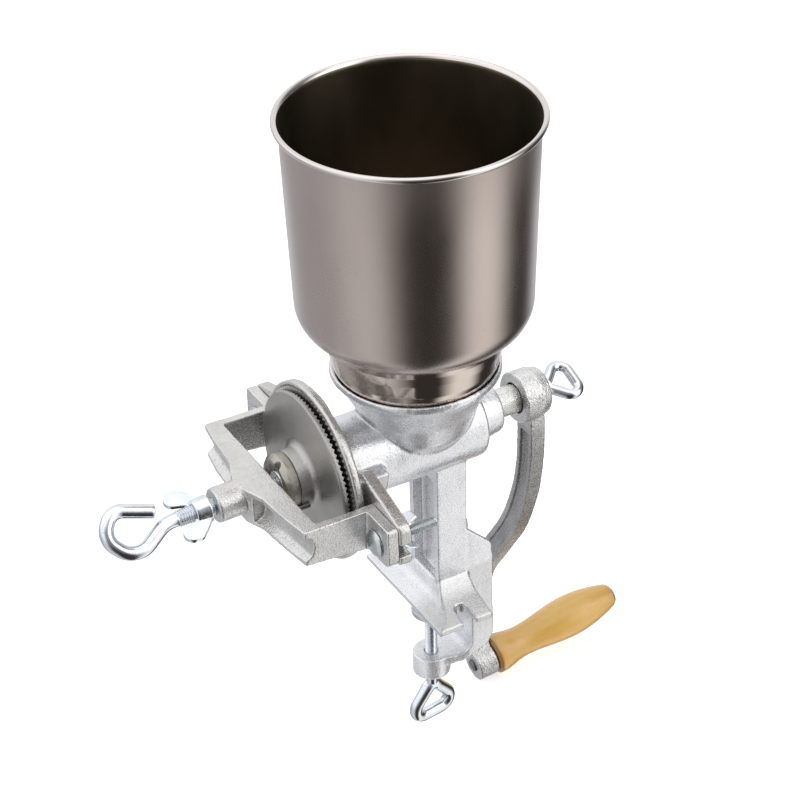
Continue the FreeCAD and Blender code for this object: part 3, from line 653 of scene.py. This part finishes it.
# ------------------------------------------------- adjusting screw and nut
EYE = np.array([-0.617, 0.0, 0.787])
AXY = np.array([0.0, 1.0, 0.0])


def eye_path():
    pts = [(-97.6, 0.0), (-157.0, 0.0), (-164.0, 0.0, 18.0), (-186.0, -14.4, 13.5), (-200.4, 3.0, 10.5), (-191.0, 16.6, 8.5), (-168.4, 8.9)]
    q = fillet(pts, step=1.2, arc=4.0, steps=[0.14, None, None, None, None, None, None])
    return np.array([AXY * a + EYE * t for a, t in q])


dish = [(-(4.05 ** 2 - r * r) ** 0.5 + 2.0, r) for r in (0.4, 1.2, 2.0, 2.8, 3.4)]
v, f = sweep(eye_path() + SHIFT, np.cross(EYE, AXY), thread(4.98, 4.15, 1.5, 1.0, 59.5, 4.25, 1.6), 48,
             cap0=[(d if d < 0 else 0.0, r) for d, r in dish] + [(0.0, 3.7)],
             cap1=[(0.5, 4.05), (0.85, 3.5), (1.0, 2.4)])
adj = make("adjusting_screw_threaded", v * MM, f)
sharp_by_angle(adj, 50)
settle(adj, "adjusting_screw", "adjuster", "zinc_steel", "zinc")

lock = cast("adjusting_wing_nut", "adjusting_wing_nut_stamped", 0.26, 4, [(6.0, 0.10), (2.0, 0.03)],
            keep=lambda p: np.where(np.hypot(p[:, 0], p[:, 2]) < 5.5, 0.0, 1.0))
settle(lock, "adjusting_wing_nut", "lock_nut", "zinc_steel", "zinc")

# --------------------------------------------------------- bolts and nuts
for side, sx in (("right", 1), ("left", -1)):
    at = np.array([sx * 71.3, 0.0, -6.1])
    head = fillet([(0.02, -73.0), (3.4, -72.8, 6.0), (6.2, -72.0, 4.0), (8.0, -70.5, 0.7), (8.25, -69.43, 0.3), (3.0, -69.42)], step=0.8, arc=8.0)
    hv, hf = lathe([tuple(p) for p in head], 72, lambda x, y, h, at=at: at + np.array([x, h, y]), closed=False)
    # square neck with rounded corners
    nk = fillet([(-3.0, -3.0, 0.5), (3.0, -3.0, 0.5), (3.0, 3.0, 0.5), (-3.0, 3.0, 0.5)], closed=True, step=1.0, arc=20.0)
    m = len(nk)
    nv = [at + np.array([p[0], yy, p[1]]) for yy in (-69.6, -65.4) for p in nk]
    nf = [(k, (k + 1) % m, m + (k + 1) % m, m + k) for k in range(m)] + [tuple(range(m, 2 * m))]
    shaft = np.array([at + AXY * y for y in np.arange(-66.0, -31.49, 0.1)])
    tv, tf = sweep(shaft, (0, 0, 1), thread(2.97, 2.45, 1.0, 3.6, 34.2, 2.9, 0.8), 36, cap1=[(0.25, 2.3), (0.3, 1.2)])
    v, f = merged((hv, hf), (np.array(nv), nf), (tv, tf))
    bolt = make("yoke_bolt_" + side + "_threaded", row(v), f)
    sharp_by_angle(bolt, 42)
    settle(bolt, "yoke_bolt_" + side, "frame", "bolt_steel", "bolt")
    nut = cast("yoke_wing_nut_" + side, "yoke_wing_nut_" + side + "_stamped", 0.22, 4, [(5.0, 0.08), (1.6, 0.02)],
               keep=lambda p: np.where(np.hypot(np.abs(p[:, 0]) - 71.3, p[:, 2] + 6.1) < 3.5, 0.0, 1.0))
    settle(nut, "yoke_wing_nut_" + side, "nut_" + side, "bolt_steel", "zinc")


# ------------------------------------------------------------ loop screws
def loop(apex, base, half, r, wire, to3, normal):
    q = fillet([(base, 0.0), (base, half, r), (apex, 0.0, max(r * 0.55, wire * 1.1)), (base, -half, r)], closed=True, step=0.8, arc=4.0)
    path = np.array([to3(a, t) for a, t in q])

    def rad(s, th):
        return wire * (1.0 + 0.018 * np.sin(s * 0.31 + 1.0) + 0.012 * np.cos(2 * th + s * 0.11))

    return sweep(path, normal, rad, 40, closed=True)


CE = np.array([0.93, 0.0, -0.36]) / math.hypot(0.93, 0.36)
lv, lf = loop(89.8, 109.8, 19.2, 6.0, 3.3, lambda a, t: AXY * a + CE * t, np.cross(CE, AXY))
shaft = np.array([AXY * y for y in np.arange(61.0, 92.6, 0.16)])
sv, sf = sweep(shaft, (0, 0, 1), thread(3.98, 3.3, 1.25, 0.4, 24.6, 3.9, 0.8), 40, cap0=[(0.3, 2.9)])
cap_ring = fillet([(3.4, 86.06), (6.0, 86.06, 0.35), (6.0, 87.6, 0.5), (3.4, 87.65)], step=0.6, arc=12.0)
cv, cf = lathe([tuple(p) for p in cap_ring], 64, lambda x, y, h: np.array([x, h, y]), closed=False)
v, f = merged((lv, lf), (sv, sf), (cv, cf))
cs = make("crank_screw_looped", row(v), f)
sharp_by_angle(cs, 50)
settle(cs, "crank_screw", "crank_screw", "zinc_steel", "zinc")

KD = np.array([-0.117, 0.993, 0.0])
KA = np.array([0.0, 6.2, 0.0])
AZ = np.array([0.0, 0.0, 1.0])
lv, lf = loop(-196.0, -221.8, 21.0, 7.0, 4.1, lambda a, t: KA + AZ * a + KD * t, np.cross(KD, AZ))
shaft = np.array([KA + AZ * z for z in np.arange(-197.2, -135.99, 0.15)])
sv, sf = sweep(shaft, (1, 0, 0), thread(3.98, 3.3, 1.25, 5.0, 60.6, 3.85, 0.8), 44, cap1=[(0.0, 3.0)])
v, f = merged((lv, lf), (sv, sf))
ks = make("clamp_screw_looped", row(v), f)
sharp_by_angle(ks, 50)
settle(ks, "clamp_screw", "clamp", "zinc_steel", "zinc")

pad = cast("clamp_pad", "clamp_pad_turned", 0.30, 3, [(7.0, 0.08), (2.0, 0.03)])
settle(pad, "clamp_pad", "pad", "zinc_steel", "bolt")


# ----------------------------------------------------------- crank handle
def natural_spline(x, y, q):
    x, y = np.asarray(x, float), np.asarray(y, float)
    n = len(x)
    h = np.diff(x)
    a = np.zeros((n, n))
    b = np.zeros(n)
    a[0, 0] = a[-1, -1] = 1.0
    for i in range(1, n - 1):
        a[i, i - 1], a[i, i], a[i, i + 1] = h[i - 1], 2 * (h[i - 1] + h[i]), h[i]
        b[i] = 3 * ((y[i + 1] - y[i]) / h[i] - (y[i] - y[i - 1]) / h[i - 1])
    c = np.linalg.solve(a, b)
    k = np.clip(np.searchsorted(x, q) - 1, 0, n - 2)
    d = q - x[k]
    bb = (y[k + 1] - y[k]) / h[k] - h[k] * (2 * c[k] + c[k + 1]) / 3
    dd = (c[k + 1] - c[k]) / (3 * h[k])
    return y[k] + bb * d + c[k] * d ** 2 + dd * d ** 3


def spindle_place(x, y, h):
    side = np.array([1.0, 0.0, 0.0])
    up = np.cross(side, SP)
    return row(S0 + SP * h + side * x + up * y)


g = [(13.5, 5.6), (13.1, 9.0), (11.8, 15.0), (10.9, 22.0), (11.2, 31.0), (12.8, 44.0), (14.2, 57.0), (14.3, 66.0), (13.2, 77.0), (11.1, 87.0), (9.1, 94.0), (8.1, 97.0)]
sq = np.concatenate([np.arange(5.6, 96.0, 1.0), [96.2, 96.55]])
rq = natural_spline([p[1] for p in g], [p[0] for p in g], sq)
prof = [(4.06, 0.0), (11.6, 0.0), (12.4, 0.12), (12.95, 0.45), (13.3, 1.0), (13.46, 1.8), (13.5, 2.8), (13.5, 4.4)] + list(zip(rq, sq)) + [(7.95, 96.85), (7.5, 97.0), (4.06, 97.0)]


def turned(th, r, h, i):
    if r[0] > 5.0:
        r = r + np.array([0.05 * noise.noise(Vector((1.3 * math.cos(a), 1.3 * math.sin(a), h[0] * 0.05))) for a in th])
    return r, h


v, f = lathe(prof, 128, lambda x, y, h: spindle_place(x, y, GRIP_AT + h), turned)
grip = make("handle_grip_turned", v, f)
sharp_by_angle(grip, 45)
settle(grip, "handle_grip", "grip", "varnished_wood", "wood")

# spindle: riveted head in the crank boss, plain pin through the grip
ring = fillet([(0.02, -1.05), (2.6, -1.0, 0.4), (2.9, -0.55, 0.2), (3.5, -0.5, 0.2), (3.8, -0.85, 0.2), (4.2, -0.8, 0.25), (4.3, 0.0, 0.1), (4.0, 0.05), (4.0, 113.3, 0.4), (2.6, 113.7, 0.4), (0.02, 113.75)],
              step=2.0, arc=15.0)
v, f = lathe([tuple(p) for p in ring], 64, spindle_place, closed=False)
sp = make("handle_spindle_riveted", v, f)
sharp_by_angle(sp, 40)
settle(sp, "handle_spindle", "rotor", "bolt_steel", "dark_steel")

ring = fillet([(4.02, 112.52), (7.2, 112.52, 0.2), (6.6, 113.7, 0.6), (4.02, 113.7)], closed=True, step=0.5, arc=12.0)
v, f = lathe([tuple(p) for p in ring], 64, spindle_place)
cap = make("handle_cap_ring", v, f)
sharp_by_angle(cap, 40)
settle(cap, "handle_cap", "rotor", "bolt_steel", "zinc")

# small pieces that keep their solid's own shape
for n, k in (("cross_pin", "dark_steel"), ("drive_dog", "dark_steel"), ("thrust_ball", "zinc"), ("fixed_burr_screws", "bolt")):
    o = nodes[n]
    o.data.materials.clear()
    o.data.materials.append(MAT[k])

# ------------------------------------------------------------------ stage
fm = bpy.data.materials.new("floor_white")
fm.use_nodes = True
fb = fm.node_tree.nodes["Principled BSDF"]
fb.inputs["Base Color"].default_value = (0.86, 0.86, 0.86, 1)
fb.inputs["Roughness"].default_value = 0.9
fb.inputs["Specular IOR Level"].default_value = 0.0
fb.inputs["Emission Color"].default_value = (1, 1, 1, 1)
fb.inputs["Emission Strength"].default_value = 0.55
floor = make("floor", [(-6, -6, -0.1405), (6, -6, -0.1405), (6, 6, -0.1405), (-6, 6, -0.1405)], [(0, 1, 2, 3)], smooth=False)
floor.data.materials.append(fm)
floor.visible_glossy = False

# camera at the photograph's angle
AZI, ELE, ROLL = math.radians(60.56), math.radians(34.35), math.radians(-1.70)
back = Vector((math.sin(AZI) * math.cos(ELE), -math.cos(AZI) * math.cos(ELE), math.sin(ELE)))
right = Vector((math.cos(AZI), math.sin(AZI), 0.0))
up = back.cross(right)
rr = right * math.cos(ROLL) + up * math.sin(ROLL)
uu = -right * math.sin(ROLL) + up * math.cos(ROLL)
cam_data = bpy.data.cameras.new("camera")
cam_data.sensor_width = 36.0
cam_data.lens = 2183.69 / 800.0 * 36.0
cam_data.clip_start, cam_data.clip_end = 0.05, 50.0
cam = bpy.data.objects.new("camera", cam_data)
cam.matrix_world = Matrix(((rr.x, uu.x, back.x, 0.909019), (rr.y, uu.y, back.y, -0.530401), (rr.z, uu.z, back.z, 0.859841), (0, 0, 0, 1)))
scene.collection.objects.link(cam)
scene.camera = cam

# studio: a broad box on the left, a brighter one on the right, a white sweep behind and above, a dark side in front
world = bpy.data.worlds.new("studio")
scene.world = world
world.use_nodes = True
wt = world.node_tree
wt.nodes.clear()


def wn(kind, **kw):
    n = wt.nodes.new(kind)
    for k, v in kw.items():
        setattr(n, k, v)
    return n


def wput(sock, v):
    if isinstance(v, bpy.types.NodeSocket):
        wt.links.new(v, sock)
    else:
        sock.default_value = v


def wmath(op, a, b=0.0, c=0.0):
    n = wn("ShaderNodeMath", operation=op)
    for k, v in enumerate((a, b, c)):
        wput(n.inputs[k], v)
    return n.outputs[0]


def wstep(v, a, b, c=0.0, d=1.0):
    n = wn("ShaderNodeMapRange", interpolation_type="SMOOTHSTEP")
    wput(n.inputs["Value"], v)
    for k, x in (("From Min", a), ("From Max", b), ("To Min", c), ("To Max", d)):
        n.inputs[k].default_value = x
    return n.outputs["Result"]


def wmix(f, a, b, blend="MIX"):
    n = wn("ShaderNodeMix", data_type="RGBA", blend_type=blend)
    wput(n.inputs[0], f)
    wput(n.inputs[6], a)
    wput(n.inputs[7], b)
    return n.outputs[2]


tc = wn("ShaderNodeTexCoord")
turn = wn("ShaderNodeVectorRotate", rotation_type="Z_AXIS")
turn.inputs["Angle"].default_value = -(AZI - math.pi / 2)
wput(turn.inputs["Vector"], tc.outputs["Generated"])
sep = wn("ShaderNodeSeparateXYZ")
wput(sep.inputs[0], turn.outputs["Vector"])
around = wmath("ARCTAN2", sep.outputs["Y"], sep.outputs["X"])
height = sep.outputs["Z"]


def box_light(centre, half, soft):
    """Share of a soft box at this bearing, with soft sides."""
    d = wmath("ABSOLUTE", wmath("WRAP", wmath("SUBTRACT", around, math.radians(centre)), math.pi, -math.pi))
    return wstep(d, math.radians(half - soft), math.radians(half + soft), 1.0, 0.0)


# dark side in front, lighter upwards
sky = wmix(wstep(height, -0.10, 0.75), (0.046, 0.041, 0.038, 1.0), (0.34, 0.34, 0.35, 1.0))
sky = wmix(box_light(-100.0, 52.0, 26.0), sky, wmix(wstep(height, -0.25, 0.40), (0.49, 0.492, 0.515, 1.0), (1.20, 1.21, 1.24, 1.0)))
sky = wmix(box_light(-46.0, 24.0, 22.0), sky, wmix(wstep(height, -0.25, 0.40), (0.74, 0.735, 0.74, 1.0), (1.10, 1.11, 1.14, 1.0)))
sky = wmix(box_light(68.0, 22.0, 16.0), sky, wmix(wstep(height, -0.25, 0.40), (1.06, 1.05, 1.03, 1.0), (1.95, 1.95, 1.95, 1.0)))
sky = wmix(box_light(180.0, 40.0, 16.0), sky, wmix(wstep(height, -0.25, 0.30), (0.78, 0.80, 0.85, 1.0), (1.00, 1.00, 1.00, 1.0)))
sky = wmix(wstep(height, 0.68, 0.92), sky, (1.32, 1.32, 1.32, 1.0))
lp = wn("ShaderNodeLightPath")
bg = wn("ShaderNodeBackground")
wput(bg.inputs["Color"], wmix(lp.outputs["Is Camera Ray"], sky, (1.0, 1.0, 1.0, 1.0)))
wo = wn("ShaderNodeOutputWorld")
wput(wo.inputs["Surface"], bg.outputs[0])

scene.view_settings.view_transform = "Standard"
scene.view_settings.look = "None"
